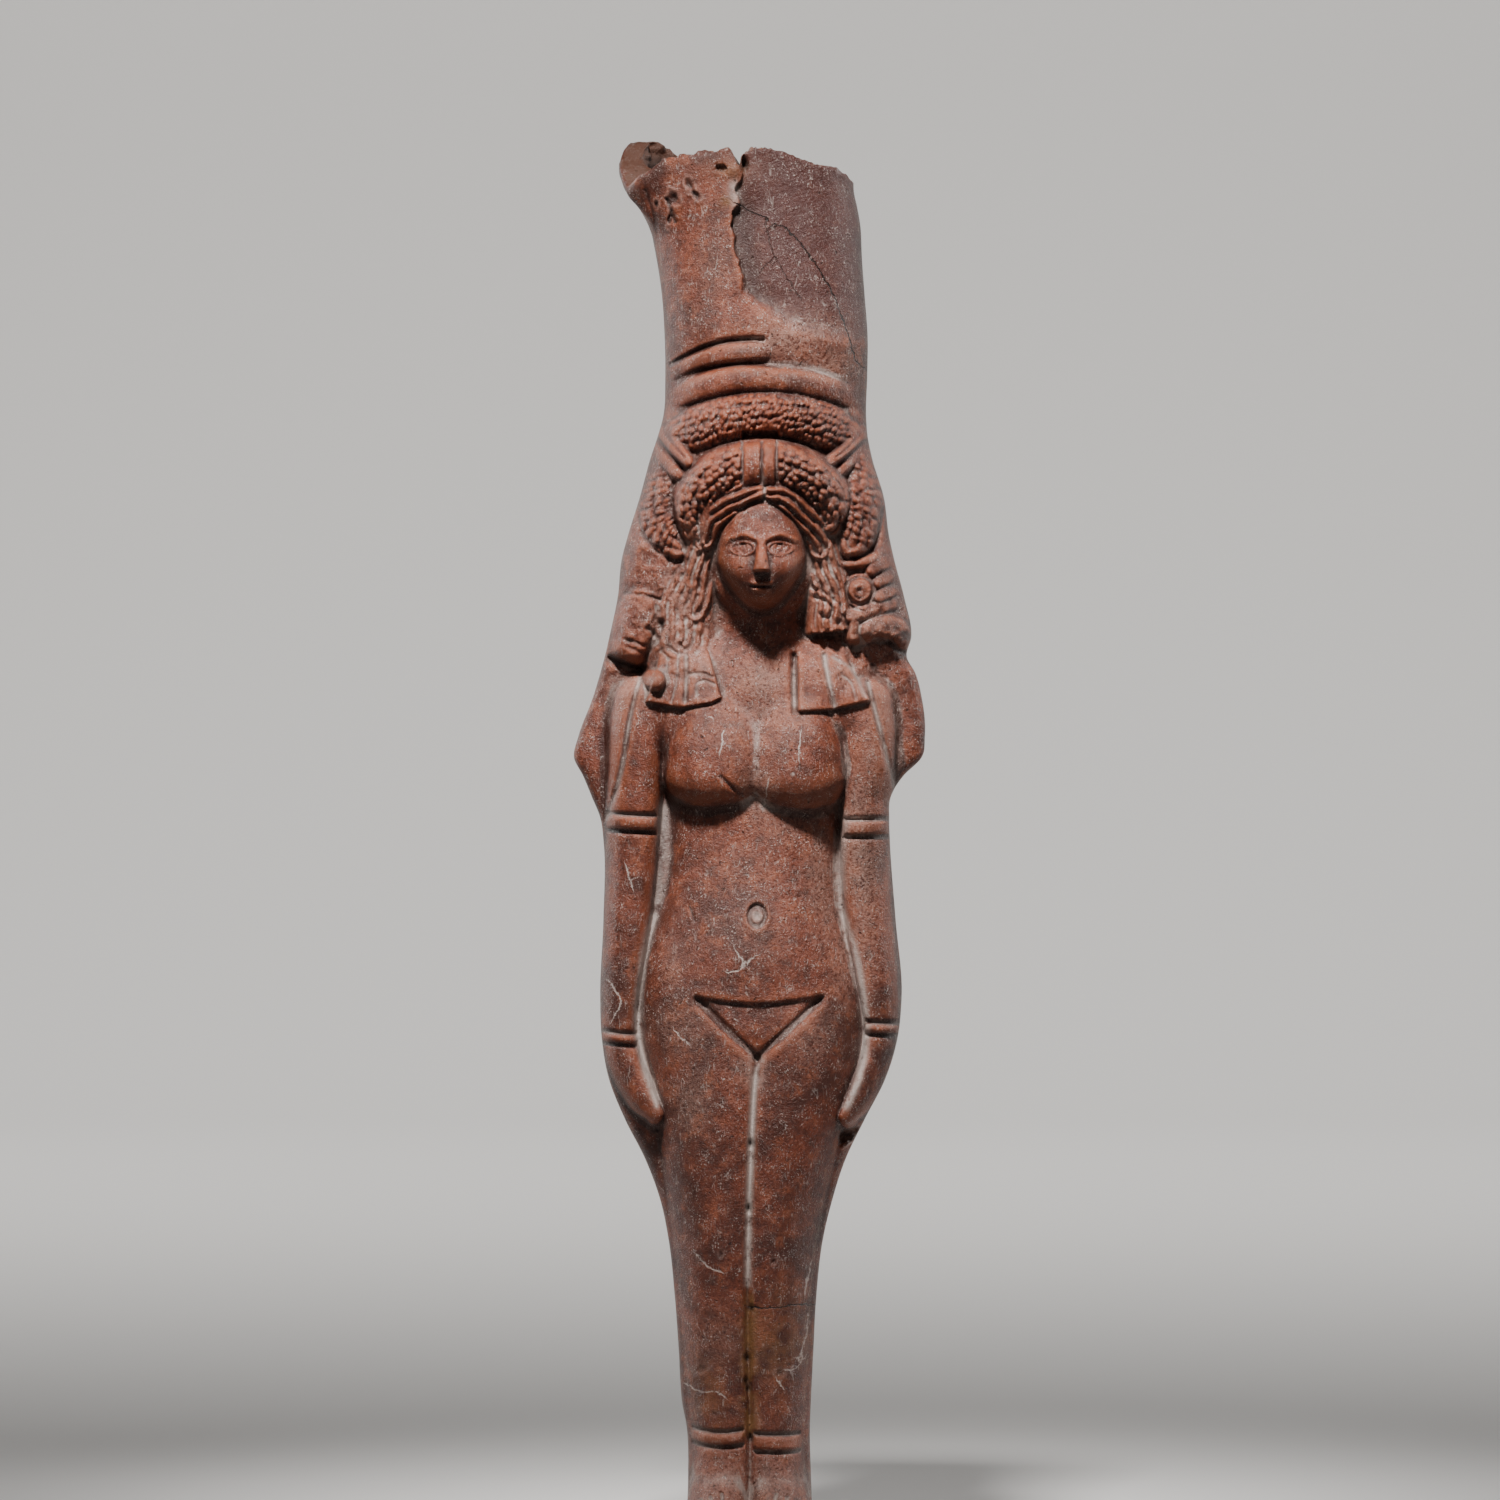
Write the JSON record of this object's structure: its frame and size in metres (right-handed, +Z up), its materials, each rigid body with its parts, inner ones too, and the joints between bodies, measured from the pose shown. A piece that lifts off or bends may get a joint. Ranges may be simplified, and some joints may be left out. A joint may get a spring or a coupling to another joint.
{
  "type": "terracotta statuette",
  "caption": "Moulded terracotta statuette of a standing woman with arms at the sides, wreaths and a tall, flared, open crown, on a low base.",
  "frame": {"origin": "middle of the base's flat underside", "axes": "+Z up along the figure's height, the figure faces -Y, its left side in the picture is -X"},
  "size_m": [0.0984, 0.0602, 0.3999],
  "materials": {
    "terracotta": "fired clay with a thin burnished slip, worn and dusted with pale sediment in the hollows"
  },
  "bodies": {
    "root": {"figure": "terracotta"}
  },
  "joints": []
}
